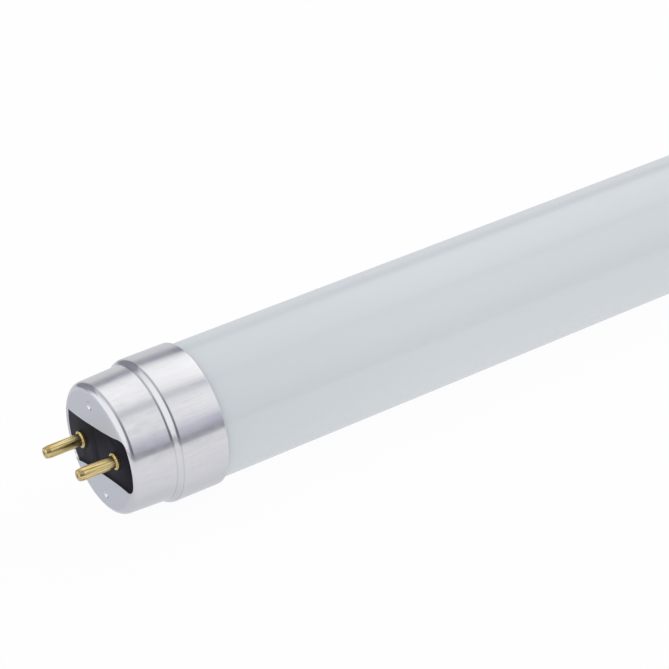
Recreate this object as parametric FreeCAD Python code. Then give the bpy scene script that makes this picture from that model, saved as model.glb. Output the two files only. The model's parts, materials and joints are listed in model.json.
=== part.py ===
import FreeCAD, Part
import math
import os

# A milky glass LED tube with a two-pin aluminium cap at each end, in millimetres.
# X runs along the tube from the live end to the far end, Y lies along the pins' line and Z points up.
# The origin is on the axis at the middle of the tube. The LED board lies at the bottom and shines up.

# Whole tube
FACE_TO_FACE = 589.3        # between the flat faces of the two caps
GLASS_DIAMETER = 25.7
GLASS_WALL = 0.8
GLASS_EDGE_BEVEL = 0.2      # on the outer edge of each end

# End cap shell, drawn from one sheet
CAP_SHEET = 0.4
CAP_LENGTH = 18.85
NOSE_LENGTH = 8.7           # from the face to the foot of the step
NOSE_DRAFT = 0.35           # how much wider the nose is at the step than at the face
STEP_LENGTH = 1.0
STEP_RISE = 0.8             # how far the collar stands out from the nose
STEP_TOP_ROUND = 1.0
FACE_ROUND = 1.5
SLOT_WIDTH = 9.8
SLOT_END_SETBACK = 0.52     # from the nose's outside to the slot's rounded ends
SLOT_CORNER_ROUND = 1.4
DIMPLE_OFFSET = 8.65        # from the axis, up and down
DIMPLE_MOUTH_RADIUS = 0.9
DIMPLE_DEPTH = 0.35

# Seats inside the cap
GLASS_SEAT_GAP = 0.1        # between the glass's end and the inside of the step
BOND_GAP = 0.25             # between the glass and the collar, filled with adhesive
BOND_RIM_SETBACK = 1.0      # from the collar's rim to the adhesive
BOND_STEP_SETBACK = 0.5     # from the inside of the step to the adhesive

# Pin carrier, moulded in black plastic
CARRIER_FIT = 0.1           # from the carrier to the shell's wall
CARRIER_THICKNESS = 2.2     # behind the sheet
BOSS_RADIUS = 2.6
BOSS_HEIGHT = 1.2
BARRIER_WIDTH = 1.0         # rib between the two bosses
BARRIER_HEIGHT = 2.4
BARRIER_LENGTH = 14.0
POCKET_FIT = 0.05           # round the back of each dimple

# Contact pins, drawn brass tube
PIN_SPACING = 12.7
PIN_DIAMETER = 2.35
PIN_LENGTH = 7.35           # from the cap's face to the pin's tip
PIN_BORE = 1.5
PIN_TIP_DIAMETER = 2.0
PIN_TIP_BORE = 0.9
PIN_TIP_LENGTH = 1.0
PIN_TIP_BEVEL = 0.3
PIN_SHOULDER_ROUND = 0.4
PIN_HOLE_FIT = 0.02
FLANGE_DIAMETER = 3.2
FLANGE_THICKNESS = 0.65
FLANGE_BEVEL = 0.15
FLARE_DIAMETER = 3.4        # the riveted end behind the carrier
FLARE_THICKNESS = 0.35

# Leads
LEAD_DIAMETER = 1.3
CORE_DIAMETER = 0.8
LEAD_BACKSET = 0.3          # from the pin's riveted end to the lead's insulation
CORE_TIP_SETBACK = 0.2      # from the pin's tip to the end of the wire in it
CORE_STRIP = 0.6            # bare wire above the board it is soldered to
SOLDER_TAIL = 0.9           # how far a leg or a wire reaches through a board
LIVE_LEAD_BEND = 1.8        # from the corner of a bend to where the cut across it starts
OUTPUT_LEAD_BEND = 1.6
LINK_BEND = 2.0
LINK_DEPTH = 8.0            # from the far cap's face to the middle of the link wire's cross run

# LED board, its glue and its LEDs
LED_BOARD_WIDTH = 10.0
LED_BOARD_THICKNESS = 1.0
LED_BOARD_CORNER_ROUND = 1.0
LED_BOARD_FIT = 0.05        # from the board's lower edges to the glass
LED_BOARD_START = 44.5      # from the live end's face
LED_BOARD_FAR_SETBACK = 20.0
BOARD_BEAD_WIDTH = 7.0
BOARD_BEAD_SETBACK = 4.0
BOARD_BEAD_FIT = 0.05       # from the bead's round underside to the glass
LED_COUNT = 48
LED_FIRST_SETBACK = 12.0    # from the board's live end to the first LED's middle
LED_LAST_SETBACK = 4.0
LED_LENGTH = 2.8
LED_WIDTH = 3.5
LED_HEIGHT = 0.7
LED_RIM = 0.4
LED_POCKET_DEPTH = 0.5
PAD_RUN = 4.0               # length of output lead that lies on the LED board

# Driver: a board slid into an insulating sleeve in the live end
SLEEVE_WALL = 0.3
SLEEVE_FIT = 0.1
SLEEVE_START = 3.3          # from the cap's face
SLEEVE_LENGTH = 39.5
DRIVER_START = 7.0
DRIVER_LENGTH = 33.5
DRIVER_THICKNESS = 1.0
DRIVER_TOP = -4.0           # height of the board's upper face
DRIVER_FIT = 0.1
DRIVER_CORNER_ROUND = 0.8
HOLE_FIT = 0.1
LEG_DIAMETER = 0.6
LIVE_HOLE_START = 2.6       # from the driver board's live end to the live leads' holes
OUTPUT_HOLE_SETBACK = 3.0   # from the driver board's other end to the output leads' holes
OUTPUT_LEAD_Y = (-1.4, -3.9)

# Parts on the driver board: the start is measured from the board's live end, y is the part's middle
FUSE_START, FUSE_Y = 5.5, 6.6
FUSE_DIAMETER, FUSE_BODY_LENGTH, FUSE_LEG_SPACING = 3.0, 6.0, 9.0
FUSE_WAIST = 0.35
FILM_START, FILM_Y = 6.0, -3.6
FILM_LENGTH, FILM_WIDTH, FILM_HEIGHT, FILM_LEG_SPACING = 4.6, 10.4, 8.6, 7.5
FILM_BEVEL = 0.6
FILM_STANDOFF = 0.4
BRIDGE_START, BRIDGE_Y = 12.8, -6.0
BRIDGE_LENGTH, BRIDGE_WIDTH, BRIDGE_HEIGHT = 4.8, 4.0, 2.4
BRIDGE_LEGS, BRIDGE_LEG_PITCH = 2, 2.54
CHOKE_START, CHOKE_Y = 15.6, 3.6
CHOKE_LENGTH, CHOKE_WIDTH, CHOKE_HEIGHT = 6.4, 10.2, 9.4
CHOKE_LIMB = 2.2
CHOKE_WINDING_FIT = 0.05
CHIP_START, CHIP_Y = 20.0, -6.0
CHIP_LENGTH, CHIP_WIDTH, CHIP_HEIGHT = 4.9, 3.9, 1.5
CHIP_LEGS, CHIP_LEG_PITCH = 4, 1.27
DIODE_START, DIODE_Y = 27.6, -7.4
DIODE_LENGTH, DIODE_WIDTH, DIODE_HEIGHT = 4.2, 2.6, 2.1
CAPACITOR_START, CAPACITOR_Y = 25.2, 5.0
CAPACITOR_DIAMETER, CAPACITOR_LENGTH, CAPACITOR_LEG_SPACING = 6.3, 7.2, 2.5
CAPACITOR_GROOVE = 0.4
CAPACITOR_GROOVE_SETBACK = 1.2
SMALL_LEG_WIDTH = 0.5
SMALL_LEG_THICKNESS = 0.25
SMALL_LEG_REACH = 0.9
BODY_DRAFT = 0.3

# Worked out from the sizes above
glass_r = GLASS_DIAMETER / 2
glass_in_r = glass_r - GLASS_WALL
collar_in_r = glass_r + BOND_GAP
collar_r = collar_in_r + CAP_SHEET
nose_rear_r = collar_r - STEP_RISE
nose_front_r = nose_rear_r - NOSE_DRAFT
slot_end_r = nose_front_r - SLOT_END_SETBACK
step_half_angle = math.atan2(STEP_RISE, STEP_LENGTH) / 2
step_shift = CAP_SHEET * math.tan(step_half_angle)      # the inside of the step lies this much further in
inner_step_foot = NOSE_LENGTH + step_shift
inner_step_top = inner_step_foot + STEP_LENGTH
inner_slope = STEP_LENGTH / STEP_RISE
inner_face_bevel = (FACE_ROUND - CAP_SHEET) * (2 - math.sqrt(2))    # touches the bend's inside at its middle
glass_end = inner_step_foot + (glass_r - nose_rear_r + CAP_SHEET) * inner_slope + GLASS_SEAT_GAP
glass_length = FACE_TO_FACE - 2 * glass_end
carrier_r = nose_front_r - CAP_SHEET - CARRIER_FIT
carrier_chamfer = inner_face_bevel + CARRIER_FIT
carrier_rear = CAP_SHEET + CARRIER_THICKNESS
pin_r = PIN_DIAMETER / 2
pin_y = PIN_SPACING / 2
pin_rear = carrier_rear + BOSS_HEIGHT
lead_start = pin_rear + FLARE_THICKNESS + LEAD_BACKSET
lead_r = LEAD_DIAMETER / 2
core_r = CORE_DIAMETER / 2
core_start = -PIN_LENGTH + CORE_TIP_SETBACK
sleeve_r = min(glass_in_r, nose_front_r - CAP_SHEET) - SLEEVE_FIT
driver_bottom = DRIVER_TOP - DRIVER_THICKNESS
driver_half_width = math.sqrt((sleeve_r - SLEEVE_WALL - DRIVER_FIT) ** 2 - driver_bottom ** 2)
leg_r = LEG_DIAMETER / 2
led_board_bottom = -math.sqrt((glass_in_r - LED_BOARD_FIT) ** 2 - (LED_BOARD_WIDTH / 2) ** 2)
led_board_top = led_board_bottom + LED_BOARD_THICKNESS
led_board_length = FACE_TO_FACE - LED_BOARD_START - LED_BOARD_FAR_SETBACK
led_pitch = (led_board_length - LED_FIRST_SETBACK - LED_LAST_SETBACK) / (LED_COUNT - 1)

ORIGIN = FreeCAD.Vector(0, 0, 0)
ALONG_X = FreeCAD.Vector(1, 0, 0)
ALONG_Z = FreeCAD.Vector(0, 0, 1)
MITRED = 1                  # a swept wire's corners meet in a plane


def rounded_outline(corners):
    """Joins corners given as (point, radius) into a closed outline with tangent arcs at the corners."""
    points = [point for point, radius in corners]
    entries, exits, arcs = [], [], []
    for i, (here, radius) in enumerate(corners):
        back = (points[i - 1] - here).normalize()
        ahead = (points[(i + 1) % len(points)] - here).normalize()
        half = back.getAngle(ahead) / 2
        reach = radius / math.tan(half)
        middle = here + (back + ahead).normalize() * (radius / math.sin(half) - radius)
        entries.append(here + back * reach)
        exits.append(here + ahead * reach)
        arcs.append(Part.Arc(entries[-1], middle, exits[-1]).toShape() if radius else None)
    edges = []
    for i, start in enumerate(exits):
        if arcs[i]:
            edges.append(arcs[i])
        edges.append(Part.makeLine(start, entries[(i + 1) % len(points)]))
    return Part.Wire(edges)


def turned(profile):
    """Turns a closed profile of (along, radius) or (along, radius, rounding) about the X axis."""
    corners = [(FreeCAD.Vector(along, 0, radius), sum(rounding)) for along, radius, *rounding in profile]
    return Part.Face(rounded_outline(corners)).revolve(ORIGIN, ALONG_X, 360)


def tube(start, length, outer, inner):
    """A plain ring about the X axis."""
    return rod(start, length, outer).cut(rod(start, length, inner))


def rod(start, length, radius, y=0.0, z=0.0):
    """A round bar along X."""
    return Part.makeCylinder(radius, length, FreeCAD.Vector(start, y, z), ALONG_X)


def block(start, length, y, width, bottom, height):
    """A box that starts at X = start, centred on y and standing on bottom."""
    return Part.makeBox(length, width, height, FreeCAD.Vector(start, y - width / 2, bottom))


def edges_along(shape, direction):
    """The straight edges that run along a direction."""
    found = []
    for edge in shape.Edges:
        if len(edge.Vertexes) == 2:
            run = edge.Vertexes[1].Point - edge.Vertexes[0].Point
            straight = abs(run.Length - edge.Length) < 1e-6
            if straight and run.cross(direction).Length < 1e-6 * run.Length:
                found.append(edge)
    return found


def wire_along(corners, radius, bend):
    """A round wire along straight runs, with a mitred cut across each corner that starts bend before it."""
    points = [FreeCAD.Vector(*corner) for corner in corners]
    path = points[:1]
    for before, here, after in zip(points, points[1:], points[2:]):
        path.append(here + (before - here).normalize() * bend)
        path.append(here + (after - here).normalize() * bend)
    path.append(points[-1])
    section = Part.Wire(Part.makeCircle(radius, path[0], path[1] - path[0]))
    return Part.makePolygon(path).makePipeShell([section], True, False, MITRED)


def at_end(shape, end):
    """Puts a shape, drawn from an end face inwards, at the live end (-1) or the far end (+1)."""
    placed = shape.copy()
    if end > 0:
        placed.rotate(ORIGIN, ALONG_Z, 180)
    placed.translate(FreeCAD.Vector(end * FACE_TO_FACE / 2, 0, 0))
    return placed


# End caps

def slot_prism():
    """The slot's outline, straight along both sides and round at both ends, taken right through the sheet."""
    depth = CAP_SHEET + FACE_ROUND
    prism = block(-CAP_SHEET, depth, 0, 2 * slot_end_r, -SLOT_WIDTH / 2, SLOT_WIDTH)
    prism = prism.common(rod(-CAP_SHEET, depth, slot_end_r))
    return prism.makeFillet(SLOT_CORNER_ROUND, edges_along(prism, ALONG_X))


def dimple_balls(grown):
    """The two balls of the punch that stakes the carrier; the sheet's back is the same ball, grown."""
    ball_r = (DIMPLE_MOUTH_RADIUS ** 2 + DIMPLE_DEPTH ** 2) / (2 * DIMPLE_DEPTH)
    centre_x = DIMPLE_DEPTH - ball_r
    balls = [
        Part.makeSphere(ball_r + grown, FreeCAD.Vector(centre_x, 0, side * DIMPLE_OFFSET))
        for side in (-1, 1)
    ]
    return balls[0].fuse(balls[1])


def cap_shell():
    """Drawn cup with a drafted nose, a bevelled step, a wider collar, a slot and two dimples."""
    shell = turned([
        (0, 0),
        (0, nose_front_r, FACE_ROUND),
        (NOSE_LENGTH, nose_rear_r),
        (NOSE_LENGTH + STEP_LENGTH, collar_r, STEP_TOP_ROUND),
        (CAP_LENGTH, collar_r),
        (CAP_LENGTH, collar_in_r),
        (inner_step_top, collar_in_r),
        (inner_step_foot, nose_rear_r - CAP_SHEET),
        (CAP_SHEET + inner_face_bevel, nose_front_r - CAP_SHEET),
        (CAP_SHEET, nose_front_r - CAP_SHEET - inner_face_bevel),
        (CAP_SHEET, 0),
    ])
    bumps = dimple_balls(CAP_SHEET).common(rod(CAP_SHEET / 2, CARRIER_THICKNESS, carrier_r))
    return shell.fuse(bumps).cut(dimple_balls(0)).cut(slot_prism())


def pin_carrier():
    """Moulded disc that backs the slot in the cap's face, with a boss round each pin behind."""
    body = turned([
        (CAP_SHEET, 0),
        (CAP_SHEET, carrier_r - carrier_chamfer),
        (CAP_SHEET + carrier_chamfer, carrier_r),
        (carrier_rear, carrier_r),
        (carrier_rear, 0),
    ])
    barrier = block(carrier_rear, BARRIER_HEIGHT, 0, BARRIER_WIDTH, -BARRIER_LENGTH / 2, BARRIER_LENGTH)
    body = body.fuse(barrier)
    for side in (-1, 1):
        body = body.fuse(rod(carrier_rear, BOSS_HEIGHT, BOSS_RADIUS, side * pin_y))
        body = body.cut(rod(0, pin_rear, pin_r + PIN_HOLE_FIT, side * pin_y))
    return body.cut(dimple_balls(CAP_SHEET + POCKET_FIT)).removeSplitter()


def contact_pin():
    """Hollow brass pin on the axis: tapered tip, root flange before the carrier, riveted flare behind."""
    tip_r = PIN_TIP_DIAMETER / 2
    tip_bore_r = PIN_TIP_BORE / 2
    bore_r = PIN_BORE / 2
    flange_r = FLANGE_DIAMETER / 2
    flange_front = CAP_SHEET - FLANGE_THICKNESS
    taper_end = -PIN_LENGTH + PIN_TIP_LENGTH
    return turned([
        (-PIN_LENGTH, tip_bore_r),
        (-PIN_LENGTH, tip_r - PIN_TIP_BEVEL),
        (-PIN_LENGTH + PIN_TIP_BEVEL, tip_r),
        (taper_end, pin_r, PIN_SHOULDER_ROUND),
        (flange_front, pin_r),
        (flange_front, flange_r - FLANGE_BEVEL),
        (flange_front + FLANGE_BEVEL, flange_r),
        (CAP_SHEET, flange_r),
        (CAP_SHEET, pin_r),
        (pin_rear, pin_r),
        (pin_rear, FLARE_DIAMETER / 2),
        (pin_rear + FLARE_THICKNESS, FLARE_DIAMETER / 2),
        (pin_rear + FLARE_THICKNESS, bore_r),
        (taper_end, bore_r),
    ])


def cap_adhesive():
    """Ring of adhesive that bonds the collar to the glass."""
    start = inner_step_top + BOND_STEP_SETBACK
    return tube(start, CAP_LENGTH - BOND_RIM_SETBACK - start, collar_in_r, glass_r)


# Glass and light source

def glass_tube():
    """Plain drawn tube, seated against the inside of each cap's step."""
    half = glass_length / 2
    return turned([
        (-half, glass_in_r),
        (-half, glass_r - GLASS_EDGE_BEVEL),
        (-half + GLASS_EDGE_BEVEL, glass_r),
        (half - GLASS_EDGE_BEVEL, glass_r),
        (half, glass_r - GLASS_EDGE_BEVEL),
        (half, glass_in_r),
    ])


def led_board():
    """Long strip that lies across the bottom of the glass on its two lower edges."""
    size = (led_board_length, 0, LED_BOARD_WIDTH, led_board_bottom, LED_BOARD_THICKNESS)
    board = block(LED_BOARD_START, *size)
    return board.makeFillet(LED_BOARD_CORNER_ROUND, edges_along(board, ALONG_Z))


def board_adhesive():
    """Bead that fills the space between the strip's back and the curved glass."""
    start = LED_BOARD_START + BOARD_BEAD_SETBACK
    length = led_board_length - 2 * BOARD_BEAD_SETBACK
    bead = block(start, length, 0, BOARD_BEAD_WIDTH, -glass_in_r, led_board_bottom + glass_in_r)
    return bead.common(rod(start, length, glass_in_r - BOARD_BEAD_FIT))


def led_pocket(grown, depth):
    """The open recess in the top of one LED package, drawn round the package's middle."""
    length = LED_LENGTH - 2 * LED_RIM
    width = LED_WIDTH - 2 * LED_RIM
    bottom = led_board_top + LED_HEIGHT - depth
    return block(-length / 2, length, 0, width, bottom, depth + grown)


def led_row(shape):
    """Repeats one LED's shape along the strip."""
    row = []
    for i in range(LED_COUNT):
        copy = shape.copy()
        copy.translate(FreeCAD.Vector(LED_BOARD_START + LED_FIRST_SETBACK + i * led_pitch, 0, 0))
        row.append(copy)
    return Part.Compound(row)


def led_packages():
    body = block(-LED_LENGTH / 2, LED_LENGTH, 0, LED_WIDTH, led_board_top, LED_HEIGHT)
    return led_row(body.cut(led_pocket(LED_HEIGHT, LED_POCKET_DEPTH)))


def led_phosphor():
    return led_row(led_pocket(0, LED_POCKET_DEPTH))


# Driver

def driver_sleeve():
    return tube(SLEEVE_START, SLEEVE_LENGTH, sleeve_r, sleeve_r - SLEEVE_WALL)


def leg_places():
    """Where each through-hole leg or wire passes the driver board, as (along, y, radius)."""
    output_along = DRIVER_LENGTH - OUTPUT_HOLE_SETBACK
    places = [(LIVE_HOLE_START, side * pin_y, core_r) for side in (-1, 1)]
    places += [(output_along, y, core_r) for y in OUTPUT_LEAD_Y]
    places += [(along, FUSE_Y, leg_r) for along in fuse_legs()]
    places += [(FILM_START + FILM_LENGTH / 2, y, leg_r) for y in film_legs()]
    places += [(capacitor_leg_along(), y, leg_r) for y in capacitor_legs()]
    return places


def fuse_legs():
    middle = FUSE_START + FUSE_LEG_SPACING / 2
    return (middle - FUSE_LEG_SPACING / 2, middle + FUSE_LEG_SPACING / 2)


def film_legs():
    return (FILM_Y - FILM_LEG_SPACING / 2, FILM_Y + FILM_LEG_SPACING / 2)


def capacitor_leg_along():
    return CAPACITOR_START - LEG_DIAMETER


def capacitor_legs():
    return (CAPACITOR_Y - CAPACITOR_LEG_SPACING / 2, CAPACITOR_Y + CAPACITOR_LEG_SPACING / 2)


def driver_board():
    """Board whose lower edges bear on the sleeve, drilled for every leg and wire."""
    board = block(DRIVER_START, DRIVER_LENGTH, 0, 2 * driver_half_width, driver_bottom, DRIVER_THICKNESS)
    board = board.makeFillet(DRIVER_CORNER_ROUND, edges_along(board, ALONG_Z))
    for along, y, radius in leg_places():
        centre = FreeCAD.Vector(DRIVER_START + along, y, driver_bottom)
        board = board.cut(Part.makeCylinder(radius + HOLE_FIT, DRIVER_THICKNESS, centre, ALONG_Z))
    return board


def straight_leg(along, y, top):
    """A round leg from a part's underside down through the driver board."""
    bottom = driver_bottom - SOLDER_TAIL
    return Part.makeCylinder(leg_r, top - bottom, FreeCAD.Vector(DRIVER_START + along, y, bottom), ALONG_Z)


def fuse_resistor():
    """Fusible resistor: a barrel that is thicker at its ends, on one wire bent down at both ends."""
    first, last = (DRIVER_START + along for along in fuse_legs())
    middle = (first + last) / 2
    body_r = FUSE_DIAMETER / 2
    half = FUSE_BODY_LENGTH / 2
    end_run = FUSE_BODY_LENGTH / 4
    axis_z = DRIVER_TOP + body_r
    bottom = driver_bottom - SOLDER_TAIL
    body = turned([
        (-half, 0),
        (-half, body_r - FUSE_WAIST),
        (-half + FUSE_WAIST, body_r),
        (-half + end_run, body_r),
        (-half + end_run + FUSE_WAIST, body_r - FUSE_WAIST),
        (half - end_run - FUSE_WAIST, body_r - FUSE_WAIST),
        (half - end_run, body_r),
        (half - FUSE_WAIST, body_r),
        (half, body_r - FUSE_WAIST),
        (half, 0),
    ])
    body.translate(FreeCAD.Vector(middle, FUSE_Y, axis_z))
    corners = [(x, FUSE_Y, z) for x, z in ((first, bottom), (first, axis_z), (last, axis_z), (last, bottom))]
    return body.fuse(wire_along(corners, leg_r, LEG_DIAMETER))


def film_capacitor():
    """Dipped film capacitor, a bevelled block that stands on its two legs."""
    bottom = DRIVER_TOP + FILM_STANDOFF
    body = block(DRIVER_START + FILM_START, FILM_LENGTH, FILM_Y, FILM_WIDTH, bottom, FILM_HEIGHT)
    body = body.makeChamfer(FILM_BEVEL, body.Edges)
    for y in film_legs():
        body = body.fuse(straight_leg(FILM_START + FILM_LENGTH / 2, y, bottom + FILM_BEVEL))
    return body


def moulded_body(start, y, length, width, height, lift):
    """A moulded package whose sides lean in a little towards its top."""
    bottom = DRIVER_TOP + lift
    body = block(start, length, y, width, bottom, height)
    top_edges = [edge for edge in body.Edges if all(v.Z > bottom + height / 2 for v in edge.Vertexes)]
    return body.makeChamfer(BODY_DRAFT, top_edges)


def flat_package(start, y, size, legs, leg_pitch):
    """A surface-mounted package with flat legs that step down to the board on both long sides."""
    length, width, height = size
    lift = SMALL_LEG_THICKNESS
    body = moulded_body(start, y, length, width, height - lift, lift)
    for i in range(legs):
        along = start + length / 2 + (i - (legs - 1) / 2) * leg_pitch - SMALL_LEG_WIDTH / 2
        foot = block(along, SMALL_LEG_WIDTH, y, width + 2 * SMALL_LEG_REACH, DRIVER_TOP, SMALL_LEG_THICKNESS)
        rise = block(
            along,
            SMALL_LEG_WIDTH,
            y,
            width + SMALL_LEG_REACH,
            DRIVER_TOP,
            height / 2 + SMALL_LEG_THICKNESS / 2,
        )
        body = body.fuse(foot).fuse(rise)
    return body.removeSplitter()


def bridge_rectifier():
    size = (BRIDGE_LENGTH, BRIDGE_WIDTH, BRIDGE_HEIGHT)
    return flat_package(DRIVER_START + BRIDGE_START, BRIDGE_Y, size, BRIDGE_LEGS, BRIDGE_LEG_PITCH)


def driver_chip():
    size = (CHIP_LENGTH, CHIP_WIDTH, CHIP_HEIGHT)
    return flat_package(DRIVER_START + CHIP_START, CHIP_Y, size, CHIP_LEGS, CHIP_LEG_PITCH)


def diode():
    size = (DIODE_LENGTH, DIODE_WIDTH, DIODE_HEIGHT)
    return flat_package(DRIVER_START + DIODE_START, DIODE_Y, size, legs=1, leg_pitch=0)


def choke_core():
    """Ferrite ring round the winding: two side limbs, a middle limb and two yokes."""
    start = DRIVER_START + CHOKE_START
    core = block(start, CHOKE_LENGTH, CHOKE_Y, CHOKE_WIDTH, DRIVER_TOP, CHOKE_HEIGHT)
    window_width = (CHOKE_WIDTH - 3 * CHOKE_LIMB) / 2
    for side in (-1, 1):
        window = block(
            start,
            CHOKE_LENGTH,
            CHOKE_Y + side * (CHOKE_LIMB + window_width) / 2,
            window_width,
            DRIVER_TOP + CHOKE_LIMB,
            CHOKE_HEIGHT - 2 * CHOKE_LIMB,
        )
        core = core.cut(window)
    return core


def choke_winding():
    """Copper wound round the middle limb, filling the two windows and standing out at both ends."""
    start = DRIVER_START + CHOKE_START
    window_width = (CHOKE_WIDTH - 3 * CHOKE_LIMB) / 2
    limb_half = CHOKE_LIMB / 2 + CHOKE_WINDING_FIT
    height = CHOKE_HEIGHT - 2 * CHOKE_LIMB - 2 * CHOKE_WINDING_FIT
    bottom = DRIVER_TOP + CHOKE_LIMB + CHOKE_WINDING_FIT
    depth = window_width - 2 * CHOKE_WINDING_FIT
    outer = block(
        start - depth,
        CHOKE_LENGTH + 2 * depth,
        CHOKE_Y,
        2 * (limb_half + depth),
        bottom,
        height,
    )
    outer = outer.makeFillet(depth / 2, edges_along(outer, ALONG_Z))
    inner = block(
        start - CHOKE_WINDING_FIT,
        CHOKE_LENGTH + 2 * CHOKE_WINDING_FIT,
        CHOKE_Y,
        2 * limb_half,
        bottom,
        height,
    )
    return outer.cut(inner)


def output_capacitor():
    """Electrolytic capacitor lying down, with the rolled groove near its rubber end and two bent legs."""
    start = DRIVER_START + CAPACITOR_START
    can_r = CAPACITOR_DIAMETER / 2
    axis_z = DRIVER_TOP + can_r
    groove = CAPACITOR_GROOVE_SETBACK
    can = turned([
        (0, 0),
        (0, can_r),
        (groove - CAPACITOR_GROOVE, can_r),
        (groove, can_r - CAPACITOR_GROOVE),
        (groove + CAPACITOR_GROOVE, can_r),
        (CAPACITOR_LENGTH - CAPACITOR_GROOVE, can_r),
        (CAPACITOR_LENGTH, can_r - CAPACITOR_GROOVE),
        (CAPACITOR_LENGTH, 0),
    ])
    can.translate(FreeCAD.Vector(start, CAPACITOR_Y, axis_z))
    leg_x = DRIVER_START + capacitor_leg_along()
    bottom = driver_bottom - SOLDER_TAIL
    for y in capacitor_legs():
        corners = [(start + leg_r, y, axis_z), (leg_x, y, axis_z), (leg_x, y, bottom)]
        can = can.fuse(wire_along(corners, leg_r, leg_r))
    return can


# Wires

def insulated(corners, bend, bare_start, bare_end):
    """A wire whose insulation stops short of each end by the given bare lengths."""
    first, second, before, last = (FreeCAD.Vector(*corners[i]) for i in (0, 1, -2, -1))
    start = first + (second - first).normalize() * bare_start
    end = last + (before - last).normalize() * bare_end
    jacket = wire_along([start] + corners[1:-1] + [end], lead_r, bend)
    return wire_along(corners, core_r, bend).fuse(jacket)


def live_lead(side):
    """From inside a pin, back along the tube and down through the driver board."""
    y = side * pin_y
    down_x = DRIVER_START + LIVE_HOLE_START
    bottom = driver_bottom - SOLDER_TAIL
    return insulated(
        [(core_start, y, 0), (down_x, y, 0), (down_x, y, bottom)],
        LIVE_LEAD_BEND,
        lead_start - core_start,
        DRIVER_THICKNESS + SOLDER_TAIL + CORE_STRIP,
    )


def output_lead(y):
    """From the driver board down to the LED board, where it lies on its pad."""
    down_x = DRIVER_START + DRIVER_LENGTH - OUTPUT_HOLE_SETBACK
    lying = led_board_top + lead_r
    return insulated(
        [(down_x, y, DRIVER_TOP + SOLDER_TAIL), (down_x, y, lying), (LED_BOARD_START + PAD_RUN, y, lying)],
        OUTPUT_LEAD_BEND,
        SOLDER_TAIL + DRIVER_THICKNESS + CORE_STRIP,
        PAD_RUN / 2,
    )


def far_link():
    """Joins the two far pins behind their carrier."""
    return insulated(
        [(core_start, -pin_y, 0), (LINK_DEPTH, -pin_y, 0), (LINK_DEPTH, pin_y, 0), (core_start, pin_y, 0)],
        LINK_BEND,
        lead_start - core_start,
        lead_start - core_start,
    )


def pieces():
    """Every piece at its place, by name."""
    made = {"glass_tube": glass_tube()}
    for name, end in (("live", -1), ("far", 1)):
        made[name + "_cap_shell"] = at_end(cap_shell(), end)
        made[name + "_pin_carrier"] = at_end(pin_carrier(), end)
        made[name + "_cap_adhesive"] = at_end(cap_adhesive(), end)
        for hand, side in (("left", 1), ("right", -1)):
            pin = contact_pin()
            pin.translate(FreeCAD.Vector(0, side * pin_y, 0))
            made[name + "_pin_" + hand] = at_end(pin, end)
    made["far_link"] = at_end(far_link(), 1)
    live_end = {
        "led_board": led_board(),
        "board_adhesive": board_adhesive(),
        "led_packages": led_packages(),
        "led_phosphor": led_phosphor(),
        "driver_sleeve": driver_sleeve(),
        "driver_board": driver_board(),
        "fuse_resistor": fuse_resistor(),
        "film_capacitor": film_capacitor(),
        "bridge_rectifier": bridge_rectifier(),
        "driver_chip": driver_chip(),
        "freewheel_diode": diode(),
        "choke_core": choke_core(),
        "choke_winding": choke_winding(),
        "output_capacitor": output_capacitor(),
        "live_lead_left": live_lead(1),
        "live_lead_right": live_lead(-1),
        "output_lead_plus": output_lead(OUTPUT_LEAD_Y[0]),
        "output_lead_minus": output_lead(OUTPUT_LEAD_Y[1]),
    }
    for name, shape in live_end.items():
        made[name] = at_end(shape, -1)
    return made


os.makedirs("parts", exist_ok=True)
for name, shape in pieces().items():
    shape.exportStep("parts/" + name + ".step")
    print(f"{name}: {len(shape.Solids)} solid(s), {shape.Volume:.1f} mm3, valid {shape.isValid()}")
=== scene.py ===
# %% [markdown]
# # A glass LED tube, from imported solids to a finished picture
#
# The object is a milky glass LED tube with a drawn aluminium cap and two brass pins at each end.
# Its solids come in as a fixed frame, already at their real places. This lesson gives the pieces that
# show a finer surface and a real finish, gives every hidden piece its material, and sets up the light
# tent and the camera of the photograph.
#
# Everything is in metres, in the frame of the solids: X runs along the tube from the photographed end,
# Y lies along the pins' line, Z points up, and the origin is on the axis at the middle.

import json
import math

import bmesh
import bpy
from mathutils import Matrix, Vector


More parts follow.
